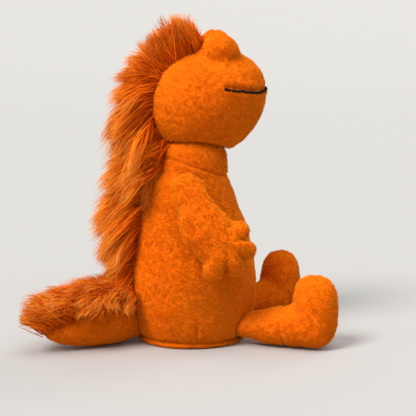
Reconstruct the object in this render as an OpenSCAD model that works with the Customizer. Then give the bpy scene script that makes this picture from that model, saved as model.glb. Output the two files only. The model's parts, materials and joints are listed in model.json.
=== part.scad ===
// Seated plush dinosaur: sewn panels over fibre filling, a pellet bag in the seat,
// safety eyes on two brow bumps, and a long-pile mane from the crown to the tail's tip.
// +X is the way it faces, +Y is its left side, +Z is up.
// The origin is the centre of the flat face that it sits on.

/* [Torso] */
// Height of the torso's axis up to the lower neck seam
torso_h = 167; // [150:1:190]
// Radius of the torso at its widest
belly_r = 65; // [56:1:78]
// Height of the widest place
belly_z = 58; // [46:1:70]
// Radius of the flat resting face
base_r = 48; // [40:1:54]
// Radius of the roll of fabric at the base seam
base_roll_r = 3; // [2:0.1:4]

/* [Neck] */
// Radius of the neck band at its middle
neck_r = 35; // [31:0.5:40]
// Height of the neck band between its two seams, along its own axis
neck_h = 25; // [20:1:30]
// Forward lean of the neck's axis in degrees
neck_lean = 7; // [0:1:12]

/* [Head] */
// Radius of the skull
skull_r = 48; // [43:1:54]
// How far the snout stands out of the skull
snout_out = 23; // [14:1:30]
// How far the chin stands out of the skull
chin_out = 9; // [4:0.5:14]
// Radius of each brow bump
brow_r = 18; // [14:0.5:21]
// Distance of each brow bump's centre from the middle
brow_y = 19; // [17:0.5:24]
// Radius of the bead of each eye
eye_r = 5; // [3.5:0.25:6]
// Half the sweep of the mouth round the snout in degrees
mouth_half = 65; // [50:1:74]
// Radius of the mouth's yarn
mouth_yarn_r = 1.1; // [0.8:0.1:1.6]

/* [Arms] */
// Height of the shoulder seam's centre
shoulder_z = 156; // [140:1:160]
// How far the shoulder sits behind the torso's axis
shoulder_back = 15; // [8:1:18]
// Distance from the shoulder's centre to the palm's centre
arm_len = 66; // [52:1:78]
// Width of the upper arm
arm_w = 30; // [24:1:34]
// Width of the palm
palm_w = 53; // [42:1:60]
// Thickness of the arm
arm_t = 26; // [20:1:32]
// Length of each finger from the palm's centre
finger_len = 28; // [24:1:33]
// Radius of each finger
finger_r = 10.5; // [8:0.5:12]
// Angle of the arm below level, forward, in degrees
arm_down = 62; // [50:1:80]

/* [Legs] */
// Distance from the hip to the middle of the foot
leg_len = 73; // [60:1:84]
// Radius of the leg at the ankle
leg_r = 21.5; // [18:0.5:24]
// Half the height of the leg where it enters the torso
hip_half_h = 12.5; // [10:0.5:14]
// Half the width of the leg where it enters the torso
hip_half_w = 17; // [14:0.5:20]
// Height of the foot, heel to toe
foot_h = 74; // [60:1:80]
// Thickness of the foot, instep to sole
foot_t = 48; // [38:1:52]
// Width of the foot
foot_w = 46; // [38:1:50]
// Turn of each leg outwards in degrees
leg_splay = 29; // [18:1:34]

/* [Tail] */
// Length of the tail from its pivot
tail_len = 104; // [84:1:125]
// Radius of the tail at its thickest
tail_r = 27; // [22:1:30]
// Turn of the tail towards the dinosaur's right in degrees
tail_turn = 20; // [0:1:24]

/* [Fabric] */
// Thickness of the plush with its short pile
skin_t = 2.4; // [1.6:0.2:3]
// Gap between two sewn panels
seam_gap = 0.4; // [0.3:0.1:0.8]
// Gap between parts that move past each other
move_gap = 0.8; // [0.6:0.1:1.2]
// Half the width of the mane's strip, as an angle round the torso
mane_half = 12; // [9:1:18]
// Depth of the mane's pile on the crown
mane_crown = 34; // [20:1:40]
// Depth of the mane's pile on the back
mane_back_t = 42; // [25:1:50]
// Depth of the mane's pile on the tail
mane_tail_t = 17; // [10:1:22]

/* [Hidden] */
plush = "darkorange";
pile = "orangered";
fill_white = "ivory";
big = 400;            // longer than the dinosaur, for cutting blocks
RIGHT = -1;           // the sign of Y on each side
LEFT = 1;

// ---- grids of points made into closed solids ----

// Triangles of a grid of n rows by m columns; a wrapped grid joins its last column to its first.
function quads(n, m, wrap, flip, at = 0) = [
    for (i = [0 : n - 2], j = [0 : (wrap ? m - 1 : m - 2)])
        let (a = at + i * m + j, b = at + i * m + (j + 1) % m,
             c = at + (i + 1) * m + (j + 1) % m, d = at + (i + 1) * m + j)
        each flip ? [[a, c, b], [a, d, c]] : [[a, b, c], [a, c, d]]
];
function turned(faces, flip) = flip ? [for (f = faces) [f[2], f[1], f[0]]] : faces;
function joined(rows) = [for (row = rows) each row];

// A sheet of fabric between an outer and an inner grid of the same size.
module sheet(outer, inner, wrap = false, flip = false) {
    n = len(outer);
    m = len(outer[0]);
    s = n * m;
    last = (n - 1) * m;
    ends = [
        for (j = [0 : (wrap ? m - 1 : m - 2)]) let (k = (j + 1) % m)
            each [[k, j, s + j], [k, s + j, s + k],
                  [last + j, last + k, s + last + k], [last + j, s + last + k, s + last + j]]
    ];
    sides = wrap ? [] : [
        for (i = [0 : n - 2]) let (a = i * m, d = a + m, b = a + m - 1, c = b + m)
            each [[a, d, s + d], [a, s + d, s + a], [c, b, s + b], [c, s + b, s + c]]
    ];
    polyhedron(
        points = concat(joined(outer), joined(inner)),
        faces = concat(quads(n, m, wrap, flip), quads(n, m, wrap, !flip, s),
                       turned(concat(ends, sides), flip)),
        convexity = 6);
}

// A filled body whose rows are closed rings, with a point closing each end.
module body_of(rows, first, last, flip = false) {
    n = len(rows);
    m = len(rows[0]);
    s = n * m;
    caps = [
        for (j = [0 : m - 1]) let (k = (j + 1) % m)
            each [[k, j, s], [s - m + j, s - m + k, s + 1]]
    ];
    polyhedron(points = concat(joined(rows), [first, last]),
               faces = concat(quads(n, m, true, flip), turned(caps, flip)), convexity = 6);
}

// A cushion's half: a dome of fabric between an outer and an inner surface.
module shell_of(outer, tip, inner, inner_tip, flip = false) {
    n = len(outer);
    m = len(outer[0]);
    s = n * m;
    k0 = 2 * s;
    caps = [
        for (j = [0 : m - 1]) let (k = (j + 1) % m)
            each [[s - m + j, s - m + k, k0], [2 * s - m + k, 2 * s - m + j, k0 + 1],
                  [k, j, s + j], [k, s + j, s + k]]
    ];
    polyhedron(points = concat(joined(outer), joined(inner), [tip, inner_tip]),
               faces = concat(quads(n, m, true, flip), quads(n, m, true, !flip, s), turned(caps, flip)),
               convexity = 6);
}
// Everything under a plane through p that is tilted about Y.
module below(p, lean) {
    translate(p) rotate([0, lean, 0]) translate([-big / 2, -big / 2, -big]) cube(big);
}

// ---- torso: a solid of revolution about Z ----

torso_steps = 22;
shell_top = torso_h + neck_r * tan(neck_lean) + 4;   // above the sloping neck seam's highest place
function torso_rad(z) = z < belly_z
    ? base_r + (belly_r - base_r) * sqrt(1 - pow(1 - max(z, 0) / belly_z, 2))
    : neck_r + (belly_r - neck_r) * cos(min(90 * (z - belly_z) / (torso_h - belly_z), 90));
function torso_slope(z) = (torso_rad(z - 1) - torso_rad(z + 1)) / 2;
wall_z0 = 2 * base_roll_r + seam_gap;                // the side panels start above the roll
function wall_line(inset) = [
    for (i = [0 : torso_steps]) let (z = wall_z0 + (shell_top - wall_z0) * i / torso_steps)
        [torso_rad(z) - inset, z]
];
function reversed(v) = [for (i = [len(v) - 1 : -1 : 0]) v[i]];

neck_foot = [0, 0, torso_h];                          // centre of the lower neck seam
neck_dir = [sin(neck_lean), 0, cos(neck_lean)];
neck_c = neck_foot + neck_dir * neck_h * 0.45;        // centre of the neck's ball
neck_top = neck_foot + neck_dir * neck_h;             // centre of the upper neck seam

module above_neck_seam(gap = 0) {
    translate(neck_foot + [0, 0, gap]) rotate([0, neck_lean, 0]) translate([-big / 2, -big / 2, 0]) cube(big);
}

hip_z = leg_r * 0.87;                                 // the leg narrows upwards into the hip
hip_az = 37;                                          // where round the torso each leg enters
function hip(side) = let (r = torso_rad(hip_z) - 4) [r * cos(hip_az), side * r * sin(hip_az), hip_z];
tail_z = tail_r;
tail_pivot = [-(torso_rad(tail_z) - 9), 0, tail_z];
tail_root_r = tail_r * 0.62;
tail_root_half_h = tail_r * 0.86;

// The round pockets that the limbs' roots sit in, about their own hinge axes.
hip_pocket = 1.5;                                     // the leg swells as it leaves the hip
tail_pocket = 1.52;                                   // and so does the tail
module limb_pockets() {
    for (side = [RIGHT, LEFT])
        translate(hip(side)) rotate([0, 0, side * leg_splay]) rotate([90, 0, 0])
            cylinder(r = hip_half_h * hip_pocket + move_gap, h = 2 * hip_half_w + 4, center = true, $fn = 64);
    translate(tail_pivot)
        cylinder(r = tail_root_r * tail_pocket, h = 2 * tail_root_half_h + 6, center = true, $fn = 64);
}

module torso_wall(from, sweep) {
    rotate([0, 0, from]) rotate_extrude(angle = sweep, $fn = 96)
        polygon(concat(wall_line(0), reversed(wall_line(skin_t))));
}

module torso_solid(grow) {
    rotate_extrude($fn = 96)
        polygon(concat([[0, 0], [base_r + grow, 0]], wall_line(-grow), [[0, shell_top]]));
}

seam_angle = seam_gap / belly_r * 180 / PI;
module torso_side(side) {
    sweep = 180 - mane_half - seam_angle;
    color(plush) difference() {
        torso_wall(side == LEFT ? seam_angle / 2 : -seam_angle / 2 - sweep, sweep);
        above_neck_seam();
        limb_pockets();
    }
}

// The base panel is a disc; its edge is sewn to the wall in a soft roll.
module base_panel() {
    color(plush) cylinder(r = base_r, h = skin_t, $fn = 96);
}
// From the panel's edge the roll reaches out to the wall's foot, however far the belly leans out over it.
roll_in = base_r + base_roll_r + seam_gap;
roll_out = max(roll_in, torso_rad(wall_z0) - skin_t - base_roll_r);
roll_line = [
    for (a = [0 : 11.25 : 359])
        [(cos(a) > 0.001 ? roll_out : roll_in) + base_roll_r * cos(a), base_roll_r * sin(a)]
];
module base_seam_roll() {
    color(plush) difference() {
        translate([0, 0, base_roll_r]) rotate_extrude($fn = 96) polygon(roll_line);
        limb_pockets();
    }
}

bag_r = base_r - 13;                                  // clear of the tail's root
bag_h = belly_z * 0.62;
bag_z = skin_t + 2;
function bag_line(inset) = [
    for (a = [-90 : 15 : 90]) let (r = bag_h / 2 - inset)
        [max(0, bag_r - bag_h / 2 + r * cos(a)), bag_z + bag_h / 2 + r * sin(a)]
];
module bag_solid(inset) {
    rotate_extrude($fn = 96)
        polygon(concat([[0, bag_z + inset]], bag_line(inset), [[0, bag_z + bag_h - inset]]));
}
bag_t = 1.2;
module pellet_bag() {
    color("white") difference() { bag_solid(0); bag_solid(bag_t); }
}
module pellets() {
    color("lightgrey") bag_solid(bag_t + seam_gap / 2);
}
module torso_filling() {
    z0 = skin_t + seam_gap;
    foot_x = base_r - skin_t;
    line = wall_line(skin_t + seam_gap);
    color(fill_white) difference() {
        rotate_extrude($fn = 96)
            polygon(concat([[0, z0], [foot_x, z0], [foot_x, wall_z0]], line, [[0, shell_top]]));
        bag_solid(-seam_gap);
        above_neck_seam(-skin_t);
        limb_pockets();
    }
}

// The back strip carries the long pile, drawn as the room that the pile takes up.
back_z0 = 2 * tail_r + mane_tail_t + 8;
mane_cols = 6;
function across(j) = 2 * j / mane_cols - 1;           // -1 to 1 over the strip's width
function dome(j) = 0.25 + 0.75 * (1 - pow(across(j), 2));
function back_row(z, t, deep) = [
    for (j = [0 : mane_cols])
        let (a = 180 + across(j) * mane_half,
             r = torso_rad(z) + (deep ? -skin_t : mane_back_t * dome(j) * (0.5 + 0.5 * min(1, 2 * t))))
        [r * cos(a), r * sin(a), z]
];
module mane_back() {
    rows = 12;
    function at(i) = back_z0 + (shell_top - back_z0) * i / rows;
    color(pile) difference() {
        sheet([for (i = [0 : rows]) back_row(at(i), i / rows, false)],
              [for (i = [0 : rows]) back_row(at(i), i / rows, true)], flip = true);
        above_neck_seam();
    }
}

// ---- neck: round like a ball above and straight below; its filling goes on up into the head's socket ----

neck_mid = norm(neck_c - neck_foot);                  // height of the ball's centre above the seam
function neck_line(r, low, high) = [
    for (a = [0 : 6 : 90]) let (z = low + (high - low) * sin(a))
        [z < neck_mid ? r : sqrt(max(0, r * r - pow(z - neck_mid, 2))), z]
];
module neck_turned(line) {
    translate(neck_foot) rotate([0, neck_lean, 0]) rotate_extrude($fn = 96) polygon(line);
}
neck_back = 180 - mane_half * 1.4;                    // the band stops at the mane's strip
module neck_strip_wedge(half, r) {
    translate(neck_foot) rotate([0, neck_lean, 0]) rotate([0, 0, 180 - half])
        rotate_extrude(angle = 2 * half, $fn = 64) square([r, neck_h + 2 * move_gap]);
}
module neck_band() {
    color(plush) difference() {
        neck_turned(concat(neck_line(neck_r, move_gap, neck_h),
                           reversed(neck_line(neck_r - skin_t, move_gap, neck_h))));
        neck_strip_wedge(180 - neck_back, neck_r + 5);
    }
}
module neck_filling() {
    r = neck_r - skin_t - seam_gap;
    color(fill_white) neck_turned(concat([[0, move_gap]], neck_line(r, move_gap, neck_mid + r)));
}
nod_down = 18;                                        // the head's travel, forwards and back
nod_up = 10;
neck_pile_tilt = 24;                                  // the neck's pile ends at this plane
module mane_neck() {
    half = 180 - neck_back - 1;
    color(pile) difference() {
        intersection() {
            translate(neck_c - neck_dir * 1) sphere(r = neck_r + mane_back_t, $fn = 64);
            neck_strip_wedge(half, big / 2);
        }
        neck_turned(concat([[0, -2]], neck_line(neck_r - skin_t, -2, neck_mid + neck_r - skin_t)));
        below(neck_foot + neck_dir * move_gap, neck_lean);
        // The pile stops under a plane through the nod axis, so that the head can lean back.
        translate(neck_c) rotate([0, neck_pile_tilt, 0]) translate([-big, -big / 2, 0]) cube(big);
    }
}

// ---- head: radius as a function of direction from the skull's centre ----

head_c = neck_c + [4.5, 0, skull_r + 12];
snout_up = 21;                                        // lift of the snout's direction in degrees
function dir(t, s) = [cos(s) * cos(t), sin(s), cos(s) * sin(t)];
function lobe(u, d, k) = exp(-k * (1 - u * d));
function head_r(t, s) = let (u = dir(t, s))
    skull_r
    + snout_out * exp(-3.1 * (1 - u * dir(snout_up, 0) - 0.22 * u[1] * u[1]))
    + chin_out * lobe(u, dir(-47, 0), 4)
    + 8 * lobe(u, dir(222, 0), 6);
function head_pt(t, s, inset) = head_c + dir(t, s) * (head_r(t, s) - inset);

// Half the centre strip's width as an angle: broad over the forehead, narrow at the crown and chin.
function gusset_half(t) = let (u = t > 270 ? t - 360 : t) 12 + 15 * exp(-pow((u - 15) / 45, 2));
gusset_seam = seam_gap / skull_r * 180 / PI / 2;
around = 30;                                          // steps round the median plane
module head_cut() {
    translate(neck_c) sphere(r = neck_r + move_gap, $fn = 64);
    below(neck_top + neck_dir * move_gap / 2, neck_lean);
}
module head_side(side) {
    function lat(t, k) = let (g = gusset_half(t) + gusset_seam) k < 0 ? 0 : g + (85 - g) * k / 6;
    function ring(k, inset) = [
        for (j = [0 : around - 1]) let (t = j * 360 / around) head_pt(t, side * lat(t, k), inset)
    ];
    flip = side == RIGHT;
    color(plush) difference() {
        body_of([for (k = [0 : 6]) ring(k, 0)], head_c + [0, side * 10, 0], head_pt(0, side * 90, 0), flip);
        body_of([for (k = [-1 : 6]) ring(k, skin_t)], head_c, head_pt(0, side * 90, skin_t), flip);
        head_cut();
    }
}
gusset_cols = 4;
function gusset_row(t, inset) = [
    for (j = [0 : gusset_cols]) head_pt(t, (2 * j / gusset_cols - 1) * (gusset_half(t) - gusset_seam), inset)
];
module gusset(from, to, steps) {
    ts = [for (i = [0 : steps]) from + (to - from) * i / steps];
    sheet([for (t = ts) gusset_row(t, 0)], [for (t = ts) gusset_row(t, skin_t)]);
}
mouth_t = 11;                                         // where the mouth crosses the median plane
crown_t = 90;                                         // where the mane starts, behind the brows
nape_t = 214;                                         // where the mane's pile ends on the head
module forehead_gusset() {
    color(plush) gusset(mouth_t + 1, crown_t - 0.5, 6);
}
module chin_gusset() {
    color(plush) difference() {
        gusset(-75, mouth_t, 8);
        head_cut();
    }
}
module head_filling() {
    inset = skin_t + 2 * seam_gap;
    lats = [-84, -65, -45, -25, 0, 25, 45, 65, 84];
    color(fill_white) difference() {
        body_of([for (s = lats) [for (j = [0 : around - 1]) head_pt(j * 360 / around, s, inset)]],
                head_pt(0, -90, inset), head_pt(0, 90, inset));
        head_cut();
    }
}
module mane_head() {
    steps = 14;
    function depth(i) = mane_crown * (0.5 + 0.5 * min(1, 3 * i / steps));
    function t_at(i) = crown_t + (nape_t + 8 - crown_t) * i / steps;
    function row(i, up) = [
        for (j = [0 : mane_cols]) let (t = t_at(i))
            head_pt(t, across(j) * (gusset_half(t) - gusset_seam), up ? -depth(i) * dome(j) : skin_t)
    ];
    color(pile) difference() {
        sheet([for (i = [0 : steps]) row(i, true)], [for (i = [0 : steps]) row(i, false)]);
        head_cut();
        // Room above the neck's pile for the head to lean back.
        translate(neck_c) rotate([0, neck_pile_tilt + nod_up + 2, 0])
            translate([-big, -big / 2, -big]) cube(big);
    }
}

// Brow bumps, each with a safety eye: bead, shank and washer on one axis.
function brow_c(side) = head_c + [skull_r * 0.417, side * brow_y, skull_r * 1.042];
eye_lift = 18;                                        // tilt of the eye's axis above level
eye_turn = 32;                                        // turn of the eye's axis towards the middle
eye_sunk = 2.2;                                       // the bead's centre lies this far inside the plush
shank_r = 1.6;
washer_r = 4.6;
washer_t = 1.2;
module on_eye_axis(side) {
    translate(brow_c(side)) rotate([0, 0, -side * eye_turn]) rotate([0, 90 - eye_lift, 0]) children();
}
brow_gap = 1.4;                                       // clears the head panels' facets as well as the seam
module head_outside(gap) {
    lats = [-84, -65, -45, -32, -21, -10, 0, 10, 21, 32, 45, 65, 84];
    body_of([for (s = lats) [for (j = [0 : around - 1]) head_pt(j * 360 / around, s, -gap)]],
            head_pt(0, -90, -gap), head_pt(0, 90, -gap));
}
module brow(side) {
    color(plush) difference() {
        translate(brow_c(side)) sphere(r = brow_r, $fn = 64);
        translate(brow_c(side)) sphere(r = brow_r - skin_t, $fn = 64);
        on_eye_axis(side) cylinder(r = shank_r + 0.3, h = brow_r + 2, $fn = 32);
        head_outside(brow_gap);
    }
}
module brow_filling() {
    color(fill_white) for (side = [RIGHT, LEFT]) difference() {
        translate(brow_c(side)) sphere(r = brow_r - skin_t - seam_gap, $fn = 64);
        on_eye_axis(side) cylinder(r = washer_r + 0.5, h = brow_r, $fn = 32);
        head_outside(brow_gap + seam_gap);
    }
}
module eye(side) {
    color("black") on_eye_axis(side) {
        difference() {
            translate([0, 0, brow_r - eye_sunk]) sphere(r = eye_r, $fn = 48);
            sphere(r = brow_r + 0.1, $fn = 64);
        }
        translate([0, 0, brow_r - 9]) cylinder(r = shank_r, h = 10.5, $fn = 32);
    }
}
module eye_washer(side) {
    color("white") on_eye_axis(side)
        translate([0, 0, brow_r - skin_t - washer_t - 0.9]) difference() {
            cylinder(r = washer_r, h = washer_t, $fn = 48);
            translate([0, 0, -1]) cylinder(r = shank_r + 0.05, h = washer_t + 2, $fn = 32);
        }
}

// The mouth: one line of yarn that dips under each cheek and turns up at its ends.
mouth_drop = 0.607;                                   // the yarn's middle lies this far below that seam
mouth_mid = head_r(mouth_t, 0) * sin(mouth_t) - mouth_drop;
function mouth_lift(s) = mouth_mid - 4 * pow(sin(180 * abs(s) / mouth_half), 2);
function mouth_angle(s, k = 3) = k == 0 ? mouth_t
    : asin(min(0.98, mouth_lift(s) / (head_r(mouth_angle(s, k - 1), s) * cos(s))));
module mouth_stitch() {
    steps = 30;
    sides = 8;
    out = mouth_yarn_r + seam_gap;
    function at(s) = head_pt(mouth_angle(s), s, -out);
    line = [for (i = [0 : steps]) at(mouth_half * (2 * i / steps - 1))];
    function unit(v) = v / norm(v);
    function tangent(i) = unit(line[min(i + 1, steps)] - line[max(i - 1, 0)]);
    rings = [
        for (i = [0 : steps])
            let (t = tangent(i), n = unit(line[i] - head_c - t * (t * (line[i] - head_c))), b = cross(t, n))
            [for (a = [0 : 360 / sides : 359]) line[i] + mouth_yarn_r * (cos(a) * n + sin(a) * b)]
    ];
    color("black") body_of(rings, line[0] - tangent(0) * 0.6, line[steps] + tangent(steps) * 0.6);
}

// ---- arms: flat plush mitts that swing in a plane leaning against the torso ----

arm_touch_z = shoulder_z - 36;                        // where the arm's plane comes nearest the torso
arm_lean = atan(torso_slope(arm_touch_z));
arm_off = torso_rad(arm_touch_z) - (shoulder_z - arm_touch_z) * tan(arm_lean) + move_gap / cos(arm_lean);
finger_at = [98, 50, 0, -50];                         // thumb and fingers' directions from the palm
finger_share = [0.95, 0.95, 0.9, 1];

// Places its children in an arm's own frame: x along the arm, z outwards along the hinge axis.
module on_shoulder(side) {
    mirror([0, side == RIGHT ? 0 : 1, 0])
        translate([-shoulder_back, -arm_off, shoulder_z])
            rotate([90 - arm_lean, 0, 0]) rotate([0, 0, -arm_down]) children();
}
// How far a finger or the arm reaches along a ray that leaves the palm's centre at an angle d to it.
function reach(d, len, r) = let (s = abs(sin(d)), c = cos(d), side = r / max(s, 0.001))
    c <= 0 ? r : side * c > len ? len * c + sqrt(max(0, r * r - pow(len * s, 2))) : side;
function arm_edge(a) = max(concat(
    [palm_w * 0.46, reach(a - 180, arm_len, arm_w / 2),
     reach(a - 180, arm_len * 0.62, arm_w * 0.58), reach(a - 180, arm_len * 0.3, palm_w * 0.42)],
    [for (k = [0 : 3]) reach(a - finger_at[k], finger_len * finger_share[k] - finger_r * 0.2, finger_r)]));
arm_cols = 60;
arm_rows = [1, 0.97, 0.88, 0.7, 0.4];
function arm_pt(a, q, inset, up) = let (r = arm_edge(a), t = arm_t / 2)
    [arm_len + (r - inset) * q * cos(a), (r - inset) * q * sin(a),
     t + up * (seam_gap / 2 + (t - inset - seam_gap / 2) * pow(max(0, 1 - pow(q, 2.4)), 0.45))];
function arm_ring(q, inset, up) = [for (j = [0 : arm_cols - 1]) arm_pt(j * 360 / arm_cols, q, inset, up)];

stitch_r = 9;
module arm_panel(side, outer) {
    up = outer ? 1 : -1;
    mid = arm_t / 2;
    color(plush) on_shoulder(side) difference() {
        shell_of([for (q = arm_rows) arm_ring(q, 0, up)], [arm_len, 0, mid + up * mid],
                 [for (q = arm_rows) arm_ring(q, skin_t, up)], [arm_len, 0, mid + up * (mid - skin_t)],
                 up < 0);
        if (!outer) translate([0, 0, -1]) cylinder(r = stitch_r + move_gap, h = skin_t + 5, $fn = 48);
    }
}
module arm_filling(side) {
    inset = skin_t + seam_gap;
    mid = arm_t / 2;
    low = [for (q = reversed(arm_rows)) arm_ring(q, inset, -1)];
    top = [for (q = arm_rows) arm_ring(q, inset, 1)];
    color(fill_white) on_shoulder(side)
        body_of(concat(low, top), [arm_len, 0, inset], [arm_len, 0, arm_t - inset]);
}
// A ring of thread that holds the arm's root to the torso.
module shoulder_stitch(side) {
    color(plush) difference() {
        on_shoulder(side) translate([0, 0, -6]) difference() {
            cylinder(r = stitch_r, h = 6 + skin_t * 0.7, $fn = 64);
            translate([0, 0, -1]) cylinder(r = stitch_r - 1.2, h = 8 + skin_t, $fn = 64);
        }
        torso_solid(seam_gap / 2);
    }
}

// ---- legs: a tapered tube from the hip to the foot, and a foot that stands up ----

function foot_back(z) = leg_len - foot_t / 2 + 3 * z / foot_h;
function foot_front(z) = leg_len + foot_t / 2 - 16 * pow(z / foot_h - 0.55, 2);
function foot_round(z) = pow(max(0, 1 - pow(abs(2 * z / foot_h - 1), 4.5)), 0.42);
function foot_half_w(z) = foot_w / 2 * pow(max(0, 1 - pow(abs(2 * z / foot_h - 1), 2.6)), 0.5)
    * (1.06 - 0.25 * z / foot_h);
function foot_xc(z) = (foot_back(z) + foot_front(z)) / 2;
function foot_half_t(z) = (foot_front(z) - foot_back(z)) / 2 * foot_round(z);
foot_z = [for (i = [0 : 12]) foot_h * (0.5 - 0.5 * cos(7.5 + i * 13.75))];
foot_cols = 20;
function foot_pt(z, a, inset) = let (zc = inset + (foot_h - 2 * inset) * z / foot_h)
    [foot_xc(z) + (foot_half_t(z) - inset) * cos(a), (foot_half_w(z) - inset) * sin(a), zc];
function foot_ring(z, inset, a0, a1, cols) = [
    for (j = [0 : cols]) foot_pt(z, a0 + (a1 - a0) * j / cols, inset)
];
// Where a point of the leg's end, at y and z, meets the back of the foot. A leg that is wider than the
// foot stands back a little, so that its facets clear the foot's round sides.
ankle_spare = 0.35 * max(0, leg_r - foot_half_w(leg_r) - 0.5);
function ankle_x(y, z, gap) = let (zz = min(max(z, 4), foot_h - 4), w = foot_half_w(zz))
    foot_xc(zz) - foot_half_t(zz) * sqrt(max(0.02, 1 - pow(y / w, 2))) - gap - ankle_spare;

// Stations along the leg: distance from the hip, half height, half width, height of the middle.
leg_cols = 20;
function hip_arc(a) = [-hip_half_h * cos(a), hip_half_h * sin(a), hip_half_w * sin(a), hip_z];
leg_mid = leg_len * 0.31;
leg_stations = [
    hip_arc(20), hip_arc(45), hip_arc(70), hip_arc(90),
    [leg_mid * 0.5, leg_r * 0.65, leg_r * 0.84, hip_z],
    [leg_mid, leg_r * 0.80, leg_r * 0.91, leg_r * 0.88],
    [leg_mid * 1.5, leg_r * 0.92, leg_r * 0.97, leg_r * 0.94],
    [leg_mid * 2, leg_r * 0.98, leg_r, leg_r * 0.98]
];
function leg_ring(s, inset, a0, a1, cols) = [
    for (j = [0 : cols]) let (a = a0 + (a1 - a0) * j / cols)
        [s[0], (s[2] - inset) * cos(a), s[3] + (s[1] - inset) * sin(a)]
];
function leg_end(share, inset, a0, a1, cols, gap) = [
    for (j = [0 : cols])
        let (a = a0 + (a1 - a0) * j / cols, r = (leg_r - inset) * share)
        [ankle_x(r * cos(a), leg_r + r * sin(a), gap), r * cos(a), leg_r + r * sin(a)]
];
module on_hip(side) {
    h = hip(side);
    translate([h[0], h[1], 0]) rotate([0, 0, side * leg_splay]) children();
}
// The two halves of the leg's tube, above and below its side seams.
module leg_panel(side, a0) {
    a1 = a0 + 180 - 2;
    half = leg_cols / 2;
    outer = concat([for (s = leg_stations) leg_ring(s, 0, a0 + 1, a1, half)],
                   [leg_end(1, 0, a0 + 1, a1, half, 2 * seam_gap)]);
    inner = concat([for (i = [0 : len(leg_stations) - 1])
                       leg_ring(leg_stations[i], min(skin_t, leg_stations[i][1] * 0.35), a0 + 1, a1, half)],
                   [leg_end(1, skin_t, a0 + 1, a1, half, 2 * seam_gap)]);
    color(plush) on_hip(side) sheet(outer, inner);
}
module leg_filling(side) {
    inset = skin_t + seam_gap;
    last = leg_cols - 1;
    round = 360 - 360 / leg_cols;
    rows = concat([for (i = [2 : len(leg_stations) - 1]) leg_ring(leg_stations[i], inset, 0, round, last)],
                  [for (share = [1, 0.7, 0.35]) leg_end(share, inset, 0, round, last, skin_t)]);
    color(fill_white) on_hip(side)
        body_of(rows, [leg_stations[2][0] - 1, 0, hip_z], [ankle_x(0, leg_r, skin_t), 0, leg_r]);
}
sole_half = 52;                                       // half the sole's sweep round the foot
module foot_upper(side) {
    a0 = sole_half + 1;
    a1 = 360 - sole_half - 1;
    color(plush) on_hip(side)
        sheet([for (z = foot_z) foot_ring(z, 0, a0, a1, 14)],
              [for (z = foot_z) foot_ring(z, skin_t, a0, a1, 14)]);
}
module foot_sole(side) {
    color(plush) on_hip(side)
        sheet([for (z = foot_z) foot_ring(z, 0, -sole_half, sole_half, 8)],
              [for (z = foot_z) foot_ring(z, skin_t, -sole_half, sole_half, 8)]);
}
module foot_filling(side) {
    inset = skin_t + seam_gap;
    mids = [for (i = [1 : len(foot_z) - 2]) foot_z[i]];
    color(fill_white) on_hip(side)
        body_of([for (z = mids) foot_ring(z, inset, 0, 360 - 360 / foot_cols, foot_cols - 1)],
                [foot_xc(mids[0]), 0, inset],
                [foot_xc(mids[len(mids) - 1]), 0, foot_h - inset]);
}

// ---- tail: a bent cone on the ground, its root narrow so that it can swing ----

tail_cols = 24;
function root_arc(a) = [-tail_root_r * cos(a), tail_root_half_h * sin(a), tail_root_r * sin(a), tail_z];
tail_stations = [
    root_arc(20), root_arc(45), root_arc(70), root_arc(90),
    [tail_len * 0.14, tail_r * 0.92, tail_r * 0.76, tail_r * 0.96],
    [tail_len * 0.30, tail_r, tail_r * 0.98, tail_r],
    [tail_len * 0.48, tail_r * 0.93, tail_r * 0.95, tail_r * 0.93],
    [tail_len * 0.66, tail_r * 0.76, tail_r * 0.78, tail_r * 0.82],
    [tail_len * 0.82, tail_r * 0.54, tail_r * 0.56, tail_r * 0.74],
    [tail_len * 0.94, tail_r * 0.32, tail_r * 0.34, tail_r * 0.72],
    [tail_len * 0.99, tail_r * 0.14, tail_r * 0.15, tail_r * 0.72]
];
module on_tail() {
    translate([tail_pivot[0], tail_pivot[1], 0]) rotate([0, 0, 180 + tail_turn]) children();
}
strip_half = 38;                                      // half the tail strip's width, as an angle
module tail_side(side) {
    a0 = side == RIGHT ? 90 + strip_half + 1 : -89;
    a1 = a0 + 180 - strip_half - 2;
    half = tail_cols / 2;
    color(plush) on_tail()
        sheet([for (s = tail_stations) leg_ring(s, 0, a0, a1, half)],
              [for (s = tail_stations) leg_ring(s, min(skin_t, s[1] * 0.35), a0, a1, half)]);
}
module tail_filling() {
    inset = skin_t + seam_gap;
    rows = [for (i = [2 : len(tail_stations) - 2])
        leg_ring(tail_stations[i], inset, 0, 360 - 360 / tail_cols, tail_cols - 1)];
    end = tail_stations[len(tail_stations) - 2];
    color(fill_white) on_tail()
        body_of(rows, [tail_stations[2][0] - 1, 0, tail_z], [end[0] + 2, 0, end[3]]);
}
module mane_tail() {
    first = 5;
    n = len(tail_stations);
    // The pile starts between two stations, clear of the torso.
    start = tail_stations[first - 1] * 0.78 + tail_stations[first] * 0.22;
    stations = concat([start], [for (i = [first : n - 1]) tail_stations[i]]);
    last = len(stations) - 1;
    function row(s, grow, further) = [
        for (j = [0 : mane_cols])
            let (a = 90 + across(j) * (strip_half - 1), g = grow < 0 ? grow : grow * dome(j))
            [s[0] + further, (s[2] + g) * cos(a), s[3] + (s[1] + g) * sin(a)]
    ];
    color(pile) on_tail() sheet(
        [for (i = [0 : last]) row(stations[i], mane_tail_t, i == last ? 6 : 0)],
        [for (i = [0 : last]) row(stations[i], -min(skin_t, stations[i][1] * 0.35), 0)]);
}

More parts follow.
